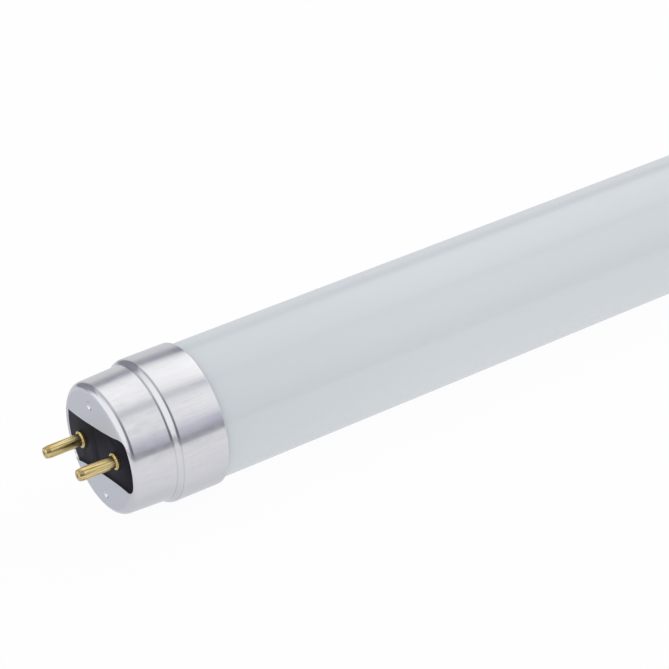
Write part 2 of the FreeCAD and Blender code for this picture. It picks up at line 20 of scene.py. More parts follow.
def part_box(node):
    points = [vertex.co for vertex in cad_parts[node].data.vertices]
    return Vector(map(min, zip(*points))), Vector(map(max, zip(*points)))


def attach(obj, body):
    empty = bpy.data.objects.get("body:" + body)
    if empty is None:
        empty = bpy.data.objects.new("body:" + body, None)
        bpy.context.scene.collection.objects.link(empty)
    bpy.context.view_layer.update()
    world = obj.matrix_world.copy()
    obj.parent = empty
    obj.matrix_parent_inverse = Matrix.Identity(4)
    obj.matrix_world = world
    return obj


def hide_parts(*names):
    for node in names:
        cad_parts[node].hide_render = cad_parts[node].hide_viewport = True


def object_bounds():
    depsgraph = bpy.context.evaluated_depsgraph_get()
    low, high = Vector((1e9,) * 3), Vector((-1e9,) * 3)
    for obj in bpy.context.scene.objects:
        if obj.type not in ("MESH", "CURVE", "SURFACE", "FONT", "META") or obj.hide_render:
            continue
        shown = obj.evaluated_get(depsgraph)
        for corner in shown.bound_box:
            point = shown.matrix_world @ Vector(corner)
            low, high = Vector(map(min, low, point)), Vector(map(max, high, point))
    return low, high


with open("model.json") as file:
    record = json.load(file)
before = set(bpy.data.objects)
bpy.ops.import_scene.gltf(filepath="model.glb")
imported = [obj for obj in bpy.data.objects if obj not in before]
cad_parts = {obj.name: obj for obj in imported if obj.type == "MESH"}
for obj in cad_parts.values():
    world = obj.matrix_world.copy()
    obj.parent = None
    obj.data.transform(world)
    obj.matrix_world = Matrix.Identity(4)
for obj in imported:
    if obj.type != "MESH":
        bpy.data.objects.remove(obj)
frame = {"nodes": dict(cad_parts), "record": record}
cad_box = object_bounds()
print("CAD box from", tuple(cad_box[0]), "to", tuple(cad_box[1]))

MM = 0.001

# %% [markdown]
# ## Small helpers
#
# Colours are picked as sRGB hex values, because that is how we see them on a screen, but shaders
# calculate in linear light. One function turns the first into the second. A second function adds a
# shader or geometry node, sets its options and values, and links what is given as a socket. The others
# are short forms of nodes that come up again and again: arithmetic, a mix of two colours, a colour ramp.

# %% Helpers for colours and nodes
def colour(hex_value):
    """An sRGB hex colour as linear RGBA."""
    channels = [int(hex_value[i:i + 2], 16) / 255 for i in (1, 3, 5)]
    return [c / 12.92 if c <= 0.04045 else ((c + 0.055) / 1.055) ** 2.4 for c in channels] + [1.0]


def node(tree, kind, inputs=None, **settings):
    """Adds a node. Inputs are values or sockets, by the input's name or index."""
    made = tree.nodes.new(kind)
    for name, value in settings.items():
        setattr(made, name, value)
    for key, value in (inputs or {}).items():
        if isinstance(value, bpy.types.NodeSocket):
            tree.links.new(value, made.inputs[key])
        else:
            made.inputs[key].default_value = value
    return made


def material(name):
    """A new material with only its Principled shader and output; returns material, tree and shader."""
    made = bpy.data.materials.new(name)
    made.use_nodes = True
    return made, made.node_tree, made.node_tree.nodes["Principled BSDF"]


def calculated(tree, operation, *values):
    """The result of one Math node on these values or sockets."""
    return node(tree, "ShaderNodeMath", dict(enumerate(values)), operation=operation).outputs["Value"]


def blend(tree, factor, low, high):
    """The mix of two colours, each an RGBA value or a socket."""
    return node(tree, "ShaderNodeMix", {
        "Factor": factor, "A": low, "B": high,
    }, data_type="RGBA").outputs["Result"]


def colour_ramp(tree, value, stops):
    """A colour ramp over a value from 0 to 1. Stops are (place, red, green, blue)."""
    ramp = node(tree, "ShaderNodeValToRGB", {"Fac": value})
    elements = ramp.color_ramp.elements
    elements.remove(elements[1])
    for i, (place, red, green, blue) in enumerate(stops):
        stop = elements[0] if i == 0 else elements.new(place)
        stop.position, stop.color = place, (red, green, blue, 1.0)
    return ramp.outputs["Color"]


print("middle grey in linear light:", round(colour("#808080")[0], 3))


# %% [markdown]
# ## Finishes
#
# Each material starts from what the real one is and how its surface was made. The patterns read Object
# coordinates, so they are fixed to the piece, and their scales come from sizes in millimetres: a noise
# texture's scale is in cells per metre, so a grain of 0.3 mm has a scale of 1 / 0.0003.

# %% Values that set the patterns' scales
def per_mm(size):
    """Texture cells per metre for a feature of this many millimetres."""
    return 1 / (size * MM)


def object_noise(tree, size_x, size_y, size_z, detail=2.0):
    """Noise whose grain has these sizes in millimetres along the object's axes."""
    coordinates = node(tree, "ShaderNodeTexCoord")
    stretch = node(tree, "ShaderNodeMapping", {
        "Vector": coordinates.outputs["Object"],
        "Scale": (per_mm(size_x), per_mm(size_y), per_mm(size_z)),
    })
    return node(tree, "ShaderNodeTexNoise", {
        "Vector": stretch.outputs["Vector"], "Scale": 1.0, "Detail": detail,
    })


def varied_colour(tree, factor, low, high):
    """A mix between two hex colours."""
    return blend(tree, factor, colour(low), colour(high))


def shifted(tree, value, low, high, start=0.0, end=1.0):
    """Maps a value from the range start to end onto low to high."""
    return node(tree, "ShaderNodeMapRange", {
        "Value": value, "From Min": start, "From Max": end, "To Min": low, "To Max": high,
    }).outputs["Result"]


print("a grain of 0.3 mm has a scale of", round(per_mm(0.3)))


# %% [markdown]
# ### Opal glass
#
# The tube is drawn soda-lime glass with a milky inner coating, so it looks like glossy porcelain: a pale
# diffuse body under a clear, smooth skin with glass's index of 1.5. A glass shader with a scattering layer
# would take far longer to render and would look the same, because nothing inside can be made out. Drawing
# leaves very faint waves along the tube. Behind its first 60 mm lies the driver, and the wall there is
# painted a touch darker: painted shade, standing for the driver's shadow behind the milky glass.

# %% Opal glass
GLASS_SHADED_AND_PLAIN = ("#D4DADC", "#DBE0E2")
DRAWN_WAVE = (90.0, 3.0, 3.0)
DRIVER_SHADE_REACH = 60 * MM
GLASS_ROUGHNESS = 0.08
GLASS_INDEX = 1.5
opal_glass, tree, shader = material("opal_glass_drawn")
wave = object_noise(tree, *DRAWN_WAVE).outputs["Fac"]
along = node(tree, "ShaderNodeSeparateXYZ", {"Vector": node(tree, "ShaderNodeTexCoord").outputs["Object"]})
glass_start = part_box("glass_tube")[0].x
# Painted shade: the wall's colour is darker over the first 60 mm, where the driver lies behind the glass.
shade = shifted(tree, along.outputs["X"], 0.0, 1.0, glass_start, glass_start + DRIVER_SHADE_REACH)
tree.links.new(varied_colour(tree, shade, *GLASS_SHADED_AND_PLAIN), shader.inputs["Base Color"])
shader.inputs["Roughness"].default_value = GLASS_ROUGHNESS
shader.inputs["IOR"].default_value = GLASS_INDEX
bump = node(tree, "ShaderNodeBump", {"Height": wave, "Strength": 0.02, "Distance": 0.02 * MM})
tree.links.new(bump.outputs["Normal"], shader.inputs["Normal"])
print(opal_glass.name, "has", len(tree.nodes), "nodes")

# %% [markdown]
# ### Drawn aluminium
#
# A cap is pressed from soft aluminium sheet in several draws. Sliding through the die leaves streaks along
# the cap, the rolled sheet shows faint lines across them, and handling gives soft uneven patches in the
# sheen. The flat face is only held, never drawn, so it stays duller and evener. At the foot and the top of
# the step a thin darker line is painted into the colour: painted shade in the hollow foot, and a painted
# dark reflection at the top. To the eye this is satin metal: its reflections are clear in shape and soft at
# their edges. The streaks are 0.16 mm wide, a little coarser than the real ones, so that they still show in
# the picture.

# %% Drawn aluminium
ALUMINIUM_COLOUR = ("#D6D6D9", "#DDDDDF")
FACE_TINT = "#D4D6DB"
PAINTED_STEP_LINE_COLOUR = "#CECED2"
DRAWN_STREAK = (5.0, 0.16, 0.16)
ROLLED_LINE = (0.2, 7.0, 7.0)
HANDLING = (2.0, 1.3, 1.3)
NOSE_LENGTH = 8.7 * MM
STEP_LENGTH = 1.0 * MM
PAINTED_STEP_LINE = 0.26 * MM
LINE_SHARE = 0.35
DRAWN_ROUGHNESS = (0.14, 0.23)
FACE_ROUGHNESS = 0.55
cap_face = abs(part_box("live_cap_shell")[0].x)
aluminium, tree, shader = material("cap_aluminium_drawn")
streaks = object_noise(tree, *DRAWN_STREAK, detail=3.0).outputs["Fac"]
lines = object_noise(tree, *ROLLED_LINE, detail=3.0).outputs["Fac"]
blotches = object_noise(tree, *HANDLING).outputs["Fac"]
along = node(tree, "ShaderNodeSeparateXYZ", {"Vector": node(tree, "ShaderNodeTexCoord").outputs["Object"]})
from_middle = calculated(tree, "ABSOLUTE", along.outputs["X"])
on_face = shifted(tree, from_middle, 0.0, 1.0, cap_face - 0.06 * MM, cap_face - 0.01 * MM)
faint_lines = calculated(tree, "MULTIPLY", lines, LINE_SHARE)
marks = calculated(tree, "ADD", streaks, faint_lines)
drawn_tone = varied_colour(tree, shifted(tree, marks, 0.0, 1.0, 0.45, 0.9), *ALUMINIUM_COLOUR)
# Painted shade at the foot of the step and a painted dark reflection at its top, as two thin darker lines.
foot_shade_line = calculated(tree, "COMPARE", from_middle, cap_face - NOSE_LENGTH, PAINTED_STEP_LINE / 2)
top_reflection_line = calculated(tree, "COMPARE", from_middle, cap_face - NOSE_LENGTH - STEP_LENGTH, PAINTED_STEP_LINE / 2)
painted_step_lines = calculated(tree, "MAXIMUM", foot_shade_line, top_reflection_line)
painted_lines_tone = blend(tree, painted_step_lines, drawn_tone, colour(PAINTED_STEP_LINE_COLOUR))
tree.links.new(blend(tree, on_face, painted_lines_tone, colour(FACE_TINT)), shader.inputs["Base Color"])
drawn_roughness = shifted(tree, blotches, *DRAWN_ROUGHNESS, 0.3, 0.7)
roughness = node(tree, "ShaderNodeMix", {
    "Factor": on_face, "A": drawn_roughness, "B": FACE_ROUGHNESS,
}, data_type="FLOAT")
tree.links.new(roughness.outputs["Result"], shader.inputs["Roughness"])
shader.inputs["Metallic"].default_value = 1.0
relief = node(tree, "ShaderNodeBump", {"Height": marks, "Strength": 0.10, "Distance": 0.02 * MM})
dents = node(tree, "ShaderNodeBump", {
    "Height": blotches, "Strength": 0.08, "Distance": 0.03 * MM, "Normal": relief.outputs["Normal"],
})
tree.links.new(dents.outputs["Normal"], shader.inputs["Normal"])
print(aluminium.name, "has", len(tree.nodes), "nodes")

# %% [markdown]
# ### The slot's sheared edge
#
# The slot is pierced through the sheet, and the punch leaves a bright, slightly torn edge the thickness of
# the sheet. It gets its own finish, so that the cut reads as a cut: paler, and rougher than the drawn skin.

# %% Sheared edge of the slot
EDGE_COLOUR = ("#D8D8DC", "#F0F0F2")
TEAR = (0.3, 0.12, 0.12)
sheared_edge, tree, shader = material("cap_aluminium_sheared")
tears = object_noise(tree, *TEAR, detail=3.0).outputs["Fac"]
tree.links.new(varied_colour(tree, tears, *EDGE_COLOUR), shader.inputs["Base Color"])
tree.links.new(shifted(tree, tears, 0.45, 0.6), shader.inputs["Roughness"])
shader.inputs["Metallic"].default_value = 1.0
bump = node(tree, "ShaderNodeBump", {"Height": tears, "Strength": 0.3, "Distance": 0.02 * MM})
tree.links.new(bump.outputs["Normal"], shader.inputs["Normal"])
print(sheared_edge.name, "has", len(tree.nodes), "nodes")

# %% [markdown]
# ### Moulded black insulator
#
# The pins sit in a block of flame-retardant polycarbonate, moulded in a lightly eroded tool. It is nearly
# black with a bluish cast and has no gloss worth the name: a fine even grain of 0.25 mm breaks up what
# little it reflects. Its specular level is low for that reason, while its roughness stays in a real range.

# %% Moulded black insulator
INSULATOR_COLOUR = ("#101019", "#181824")
MOULD_GRAIN = (0.25, 0.25, 0.25)
LOW_GLOSS = 0.12
carrier_plastic, tree, shader = material("carrier_plastic_moulded")
texture = object_noise(tree, *MOULD_GRAIN).outputs["Fac"]
tree.links.new(varied_colour(tree, texture, *INSULATOR_COLOUR), shader.inputs["Base Color"])
tree.links.new(shifted(tree, texture, 0.48, 0.6), shader.inputs["Roughness"])
shader.inputs["Specular IOR Level"].default_value = LOW_GLOSS
bump = node(tree, "ShaderNodeBump", {"Height": texture, "Strength": 0.15, "Distance": 0.02 * MM})
tree.links.new(bump.outputs["Normal"], shader.inputs["Normal"])
print(carrier_plastic.name, "has", len(tree.nodes), "nodes")

# %% [markdown]
# ### Drawn brass
#
# The pins are drawn from brass strip and tumbled. The metal is a pale yellow with fine streaks along the
# pin, some of them browner where the skin has tarnished, and it is shiny enough to show the black insulator
# as a dark root beside the flange.

# %% Drawn brass
BRASS_COLOUR = ("#AD8F4C", "#F4E4AA")
PIN_STREAK = (5.0, 0.18, 0.18)
pin_brass, tree, shader = material("pin_brass_drawn")
streaks = object_noise(tree, *PIN_STREAK, detail=3.0).outputs["Fac"]
tarnish = shifted(tree, streaks, 0.0, 1.0, 0.36, 0.62)
tree.links.new(varied_colour(tree, tarnish, *BRASS_COLOUR), shader.inputs["Base Color"])
tree.links.new(shifted(tree, streaks, 0.16, 0.30), shader.inputs["Roughness"])
shader.inputs["Metallic"].default_value = 1.0
bump = node(tree, "ShaderNodeBump", {"Height": streaks, "Strength": 0.2, "Distance": 0.01 * MM})
tree.links.new(bump.outputs["Normal"], shader.inputs["Normal"])
print(pin_brass.name, "has", len(tree.nodes), "nodes")

# %% [markdown]
# ### What is sealed inside
#
# The driver, the LED board and the wires never show in the picture, but the part is kept whole, so each
# gets the finish its real material has: solder mask, moulded epoxy, dipped epoxy, sintered ferrite,
# enamelled copper, shrunk film, wire insulation. They differ only in colour, gloss and grain, so one recipe
# with those four values serves them all.

# %% Finishes for what is sealed inside
def plain_finish(name, low, high, roughness, grain_size, metallic=0.0):
    """A finish with a little grain in its colour and relief."""
    made, tree, shader = material(name)
    grain = object_noise(tree, grain_size, grain_size, grain_size).outputs["Fac"]
    tree.links.new(varied_colour(tree, grain, low, high), shader.inputs["Base Color"])
    tree.links.new(shifted(tree, grain, roughness * 0.85, roughness * 1.15), shader.inputs["Roughness"])
    shader.inputs["Metallic"].default_value = metallic
    bump = node(tree, "ShaderNodeBump", {"Height": grain, "Strength": 0.1, "Distance": 0.02 * MM})
    tree.links.new(bump.outputs["Normal"], shader.inputs["Normal"])
    return made


print("the recipe for the inner finishes is ready")


# %% Every slot's finish, and the solids that wear it
finishes = {
    "opal_glass": opal_glass,
    "cap_aluminium": aluminium,
    "carrier_plastic": carrier_plastic,
    "pin_brass": pin_brass,
    "silicone": plain_finish("silicone_cured", "#DCDCD8", "#E8E8E4", 0.45, 0.8),
    "board_aluminium": plain_finish("solder_mask_white", "#E9E9E4", "#F2F2EE", 0.35, 0.5),
    "led_body": plain_finish("led_body_moulded", "#EDEDE6", "#F5F5F0", 0.4, 0.2),
    "led_phosphor": plain_finish("phosphor_in_silicone", "#E0BE3E", "#EFD35C", 0.5, 0.08),
    "sleeve_film": plain_finish("sleeve_film_extruded", "#E4E4DF", "#F0F0EC", 0.25, 1.5),
    "driver_laminate": plain_finish("solder_mask_green", "#1F5B33", "#2C6F40", 0.35, 0.6),
    "fuse_coating": plain_finish("fuse_lacquer", "#6F9587", "#85A99B", 0.3, 0.4),
    "film_coating": plain_finish("epoxy_dipped", "#7E2A20", "#96382C", 0.25, 0.7),
    "package_plastic": plain_finish("epoxy_moulded_black", "#1B1B1C", "#262628", 0.5, 0.15),
    "ferrite": plain_finish("ferrite_sintered", "#35363A", "#47484C", 0.55, 0.12),
    "winding_copper": plain_finish("copper_enamelled", "#A85A2C", "#C4733C", 0.28, 0.3, metallic=1.0),
    "capacitor_film": plain_finish("capacitor_film_shrunk", "#1C2436", "#283248", 0.3, 1.0),
    "lead_white": plain_finish("wire_insulation_white", "#DEDED8", "#EAEAE6", 0.45, 0.5),
    "lead_red": plain_finish("wire_insulation_red", "#A01A14", "#B82820", 0.45, 0.5),
    "lead_black": plain_finish("wire_insulation_black", "#1A1A1A", "#262626", 0.45, 0.5),
}
slot_of_node = {row["node"]: row["material_slot"] for row in frame["record"]["subparts"]}
for name, cad in frame["nodes"].items():
    cad.data.materials.clear()
    cad.data.materials.append(finishes[slot_of_node[name]])
print(len(finishes), "finishes on", len(frame["nodes"]), "nodes")


# %% [markdown]
# ## Turned forms
#
# The glass, the caps and the pins are all round about an axis, so each is one outline, turned. The
# outline's corners are given with a rounding, and a helper replaces each by a short arc. A Screw or a Spin
# would turn a curve as well, but plain mesh code gives even rings of quads whose number we choose, and they
# shade without a facet even in a glossy reflection.

# %% Outline with rounded corners, and turning it
TURN_STEPS = 192
ARC_STEP = math.radians(9)
ON_AXIS = 1e-9


def rounded_outline(corners):
    """Corner points given as (along, radius, rounding), in metres, with arcs at the rounded corners."""
    points = []
    count = len(corners)
    for i, (x, r, rounding) in enumerate(corners):
        here = Vector((x, r))
        if rounding == 0:
            points.append(here)
            continue
        back = (Vector(corners[i - 1][:2]) - here).normalized()
        ahead = (Vector(corners[(i + 1) % count][:2]) - here).normalized()
        half = back.angle(ahead) / 2
        centre = here + (back + ahead).normalized() * (rounding / math.sin(half))
        start = here + back * (rounding / math.tan(half)) - centre
        end = here + ahead * (rounding / math.tan(half)) - centre
        sweep = start.angle_signed(end)
        steps = max(2, round(abs(sweep) / ARC_STEP))
        for k in range(steps + 1):
            points.append(centre + Matrix.Rotation(-sweep * k / steps, 2) @ start)
    return points


def turned(name, outline, steps=TURN_STEPS):
    """A closed mesh made by turning an outline of (along, radius) about the X axis."""
    mesh = bmesh.new()
    rings = []
    for x, r in outline:
        if r < ON_AXIS:
            rings.append([mesh.verts.new((x, 0, 0))])
            continue
        angles = [2 * math.pi * k / steps for k in range(steps)]
        rings.append([mesh.verts.new((x, r * math.cos(a), r * math.sin(a))) for a in angles])
    for ring, after in zip(rings, rings[1:] + rings[:1]):
        for k in range(steps):
            corners = list(dict.fromkeys([
                ring[k % len(ring)], ring[(k + 1) % len(ring)],
                after[(k + 1) % len(after)], after[k % len(after)],
            ]))
            if len(corners) > 2:
                mesh.faces.new(corners)
    bmesh.ops.recalc_face_normals(mesh, faces=mesh.faces)
    data = bpy.data.meshes.new(name)
    mesh.to_mesh(data)
    mesh.free()
    made = bpy.data.objects.new(name, data)
    bpy.context.scene.collection.objects.link(made)
    return made


rounded_corner = rounded_outline([(0, 0, 0), (5, 0, 1), (5, 5, 0)])
print("a rounded square corner becomes", len(rounded_corner) - 2, "points")

# %% Shading, finish and place in the frame
SMOOTH_UNDER = math.radians(32)


def finished(made, slot, node_name, turn=False, wears=None):
    """Shades a piece smooth up to its sharp edges, gives it its finish and lets it stand for its CAD node."""
    if turn:
        made.data.transform(Matrix.Rotation(math.pi, 4, "Z"))
    made.data.shade_smooth()
    made.data.set_sharp_from_angle(angle=SMOOTH_UNDER)
    made.data.materials.clear()
    for finish in wears or [finishes[slot]]:
        made.data.materials.append(finish)
    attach(made, "root")
    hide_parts(node_name)
    print(made.name, len(made.data.polygons), "faces")


# %% [markdown]
# ## Glass tube
#
# The tube is cut from a drawn length, and its ends are fire-polished: a flame rounds the cut edge. The
# solid has the right size but few sides, so a turned tube with 192 sides and rounded ends takes its place.

# %% Glass tube
glass_low, glass_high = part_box("glass_tube")
glass_r = glass_high.y
GLASS_WALL = 0.8 * MM
EDGE = 0.2 * MM
glass = turned("glass_tube_fine", rounded_outline([
    (glass_low.x, glass_r - GLASS_WALL, EDGE),
    (glass_low.x, glass_r, EDGE),
    (glass_high.x, glass_r, EDGE),
    (glass_high.x, glass_r - GLASS_WALL, EDGE),
]))
finished(glass, "opal_glass", "glass_tube")

# %% [markdown]
# ## Cap shells
#
# A cap starts as a flat disc of 0.4 mm sheet. It is drawn into a cup, the nose is drawn narrower, and that
# leaves a bevelled step to the collar, which slips over the glass. The outline below goes round the sheet,
# outside and inside, so the piece has its real wall. Every bend has the rounding that a die gives.
#
# The slot was pierced while the sheet was still flatter, so it runs into the rounded edge, its end walls
# stand square on the bent sheet, and its sides draw in to a waist. Two ball-ended punch marks stake the
# sheet into the insulator. All three are cut out with booleans, because a slot that crosses a rounded edge
# is hard to model by hand and exact to cut. The slot cutter's faces have the second material, so the slot's
# walls get the sheared finish. The punch marks keep the skin of the sheet.

# %% Cap outline
face_x, cap_rim_x = (corner.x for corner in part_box("live_cap_shell"))
collar_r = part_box("live_cap_shell")[1].z
SHEET = 0.4 * MM
STEP_RISE = 0.8 * MM
NOSE_DRAFT = 0.35 * MM
FACE_ROUND = 1.5 * MM
FOOT_ROUND = 1.2 * MM
TOP_ROUND = 1.3 * MM
RIM_ROUND = 0.12 * MM
nose_rear_r = collar_r - STEP_RISE
nose_front_r = nose_rear_r - NOSE_DRAFT
step_shift = SHEET * math.tan(math.atan2(STEP_RISE, STEP_LENGTH) / 2)
cap_outline = rounded_outline([
    (face_x, 0, 0),
    (face_x, nose_front_r, FACE_ROUND),
    (face_x + NOSE_LENGTH, nose_rear_r, FOOT_ROUND),
    (face_x + NOSE_LENGTH + STEP_LENGTH, collar_r, TOP_ROUND),
    (cap_rim_x, collar_r, RIM_ROUND),
    (cap_rim_x, collar_r - SHEET, RIM_ROUND),
    (face_x + NOSE_LENGTH + STEP_LENGTH + step_shift, collar_r - SHEET, TOP_ROUND - SHEET),
    (face_x + NOSE_LENGTH + step_shift, nose_rear_r - SHEET, FOOT_ROUND),
    (face_x + SHEET, nose_front_r - SHEET, FACE_ROUND - SHEET),
    (face_x + SHEET, 0, 0),
])
print("the cap's outline has", len(cap_outline), "points")

# %% The slot's outline
SLOT_WAIST = 4.68 * MM
SLOT_FLARE = 0.9 * MM
SLOT_SETBACK = 0.52 * MM
SLOT_EASE = 1.6 * MM
CORNER_PASSES = 6
ARC_POINTS = 10
SIDE_POINTS = 8
slot_end_r = nose_front_r - SLOT_SETBACK


def slot_side(y):
    """Half the slot's width at this distance from the middle: drawn in to a waist, flared at the ends."""
    return SLOT_WAIST + SLOT_FLARE * (y / slot_end_r) ** 3


def slot_outline(end_r):
    """The slot seen from the front: flared sides, round ends and corners that a short curve eases."""
    corner_y = end_r
    for _ in range(CORNER_PASSES):
        corner_y = math.sqrt(end_r ** 2 - slot_side(corner_y) ** 2)
    corner = Vector((corner_y, slot_side(corner_y)))
    arc = math.atan2(corner.y, corner.x) - SLOT_EASE / end_r
    angles = [arc * k / ARC_POINTS for k in range(ARC_POINTS + 1)]
    quarter = [Vector((end_r * math.cos(a), end_r * math.sin(a))) for a in angles]
    eased = corner_y - SLOT_EASE
    start, stop = quarter[-1], Vector((eased, slot_side(eased)))
    for k in range(1, SIDE_POINTS):
        t = k / SIDE_POINTS
        quarter.append(start * (1 - t) ** 2 + corner * (2 * t * (1 - t)) + stop * t ** 2)
    for k in range(SIDE_POINTS + 1):
        y = eased * (1 - k / SIDE_POINTS)
        quarter.append(Vector((y, slot_side(y))))
    half = quarter + [Vector((-p.x, p.y)) for p in reversed(quarter[:-1])]
    return half + [Vector((p.x, -p.y)) for p in reversed(half)][1:-1]


print("the slot is", round(2 * slot_side(0) / MM, 2), "mm wide at its waist, and its outline has",
      len(slot_outline(slot_end_r)), "points")


# %% The slot's cutter
def slot_cutter():
    """The slot's shape through the sheet. Its end walls lean inwards, square to the bent sheet."""
    bend = math.asin((slot_end_r - nose_front_r + FACE_ROUND) / FACE_ROUND)
    edge_x = FACE_ROUND * (1 - math.cos(bend))
    rings = []
    mesh = bmesh.new()
    for x in (-SHEET, FACE_ROUND):
        end_r = slot_end_r - (x - edge_x) * math.tan(bend)
        rings.append([mesh.verts.new((face_x + x, y, z)) for y, z in slot_outline(end_r)])
    mesh.faces.new(rings[0])
    mesh.faces.new(rings[1])
    count = len(rings[0])
    for k in range(count):
        mesh.faces.new([rings[0][k], rings[0][(k + 1) % count], rings[1][(k + 1) % count], rings[1][k]])
    bmesh.ops.recalc_face_normals(mesh, faces=mesh.faces)
    for wall in mesh.faces:
        wall.material_index = 1
    data = bpy.data.meshes.new("slot_cutter")
    mesh.to_mesh(data)
    mesh.free()
    return data


print("the cutter reaches", FACE_ROUND / MM, "mm behind the face")

# %% The punch marks' cutter
DIMPLE_OFFSET = 8.65 * MM
DIMPLE_MOUTH = 0.9 * MM
DIMPLE_DEPTH = 0.4 * MM


def dimple_cutter(side):
    """The ball-ended punch that stakes the sheet into the carrier."""
    ball_r = (DIMPLE_MOUTH ** 2 + DIMPLE_DEPTH ** 2) / (2 * DIMPLE_DEPTH)
    mesh = bmesh.new()
    bmesh.ops.create_uvsphere(mesh, u_segments=48, v_segments=32, radius=ball_r)
    bmesh.ops.translate(mesh, verts=mesh.verts, vec=(face_x + DIMPLE_DEPTH - ball_r, 0, side * DIMPLE_OFFSET))
    data = bpy.data.meshes.new("dimple_cutter")
    mesh.to_mesh(data)
    mesh.free()
    return data


print("a punch mark is", DIMPLE_MOUTH * 2 / MM, "mm across")


# %% Both caps
def cut(made, cutters):
    """Takes the cutters' shapes out of a piece and keeps the result as its plain mesh."""
    scene = bpy.context.scene.collection
    tools = []
    for data in cutters:
        tool = bpy.data.objects.new(data.name, data)
        scene.objects.link(tool)
        tools.append(tool)
        step = made.modifiers.new(data.name, "BOOLEAN")
        step.operation, step.solver, step.object = "DIFFERENCE", "EXACT", tool
    evaluated = made.evaluated_get(bpy.context.evaluated_depsgraph_get())
    result = bpy.data.meshes.new_from_object(evaluated)
    made.modifiers.clear()
    made.data = result
    for tool in tools:
        bpy.data.objects.remove(tool)


for end in ("live", "far"):
    cap = turned(end + "_cap_fine", cap_outline)
    for finish in (aluminium, sheared_edge):
        cap.data.materials.append(finish)
    cut(cap, [slot_cutter(), dimple_cutter(1), dimple_cutter(-1)])
    finished(cap, "cap_aluminium", end + "_cap_shell", turn=end == "far", wears=[aluminium, sheared_edge])

# %% [markdown]
# ## Pin carriers
#
# The insulator's solid already has its right shape: a disc that fills the cap, a flat front that shows in
# the slot, ribs and bosses behind. Its mesh is loose triangles, so a copy is merged and its flat faces are
# joined before it is shaded smooth. That keeps long thin triangles from showing in the sheen.

# %% Pin carriers
MERGE = 0.001 * MM
FLAT_UNDER = math.radians(0.5)
for end in ("live", "far"):
    source = frame["nodes"][end + "_pin_carrier"].data.copy()
    mesh = bmesh.new()
    mesh.from_mesh(source)
    bmesh.ops.remove_doubles(mesh, verts=mesh.verts, dist=MERGE)
    bmesh.ops.dissolve_limit(mesh, angle_limit=FLAT_UNDER, verts=mesh.verts, edges=mesh.edges)
    mesh.to_mesh(source)
    mesh.free()
    carrier = bpy.data.objects.new(end + "_carrier_fine", source)
    bpy.context.scene.collection.objects.link(carrier)
    finished(carrier, "carrier_plastic", end + "_pin_carrier")

# %% [markdown]
# ## Contact pins
#
# A pin is a brass tube drawn from strip. Its tip is swaged in to a smaller hole, a flange at its root
# rests on the insulator, and its tail is flared behind it like a rivet. That is one outline again, turned
# with 64 steps, because a pin is only 2.35 mm thick.

# %% Contact pins
pin_low, pin_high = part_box("live_pin_left")
PIN_R = 2.35 / 2 * MM
PIN_TIP_R = 2.0 / 2 * MM
PIN_TIP_LENGTH = 1.0 * MM
PIN_BORE_R = 1.5 / 2 * MM
TIP_BORE_R = 0.5 / 2 * MM
FLANGE_R = 3.2 / 2 * MM
FLANGE_THICKNESS = 0.65 * MM
FLARE_R = (pin_high.y - pin_low.y) / 2
FLARE_THICKNESS = 0.35 * MM
SWAGE_R = 0.9 / 2 * MM
SWAGE_LENGTH = 0.18 * MM
PIN_STEPS = 64
EDGE_ROUND = 0.05 * MM
ROOT_ROUND = 0.08 * MM
FLARE_ROUND = 0.1 * MM
FLANGE_ROUND = 0.18 * MM
TIP_ROUND = 0.3 * MM
TAPER_ROUND = 0.4 * MM
flange_rear = face_x + SHEET
pin_outline = rounded_outline([
    (pin_low.x, TIP_BORE_R, EDGE_ROUND),
    (pin_low.x, PIN_TIP_R, TIP_ROUND),
    (pin_low.x + PIN_TIP_LENGTH, PIN_R, TAPER_ROUND),
    (flange_rear - FLANGE_THICKNESS, PIN_R, ROOT_ROUND),
    (flange_rear - FLANGE_THICKNESS, FLANGE_R, FLANGE_ROUND),
    (flange_rear, FLANGE_R, EDGE_ROUND),
    (flange_rear, PIN_R, 0),
    (pin_high.x - FLARE_THICKNESS, PIN_R, 0),
    (pin_high.x - FLARE_THICKNESS, FLARE_R, FLARE_ROUND),
    (pin_high.x, FLARE_R, FLARE_ROUND),
    (pin_high.x, PIN_BORE_R, FLARE_ROUND),
    (pin_low.x + PIN_TIP_LENGTH, PIN_BORE_R, 0),
    (pin_low.x + SWAGE_LENGTH, SWAGE_R, 0),
])
for name in ("live_pin_left", "live_pin_right", "far_pin_left", "far_pin_right"):
    low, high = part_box(name)
    pin = turned(name + "_fine", pin_outline, steps=PIN_STEPS)
    if name.startswith("far"):
        pin.data.transform(Matrix.Rotation(math.pi, 4, "Z"))
    pin.data.transform(Matrix.Translation((0, (low.y + high.y) / 2, 0)))
    finished(pin, "pin_brass", name)

# %% [markdown]
# ## The row of LEDs
#
# Along the board stand 48 equal packages: white moulded frames with a pocket, and yellow phosphor in
# silicone that fills it to just under the rim. This is what Geometry Nodes are for. A rounded rectangle
# is filled and extruded into a block, a second block is taken out of it as the pocket, and instances of it
# stand on the points of a line. The sizes are named inputs, so the same two trees would make any row. The
# instances are realised at the end, because the export keeps only real meshes.

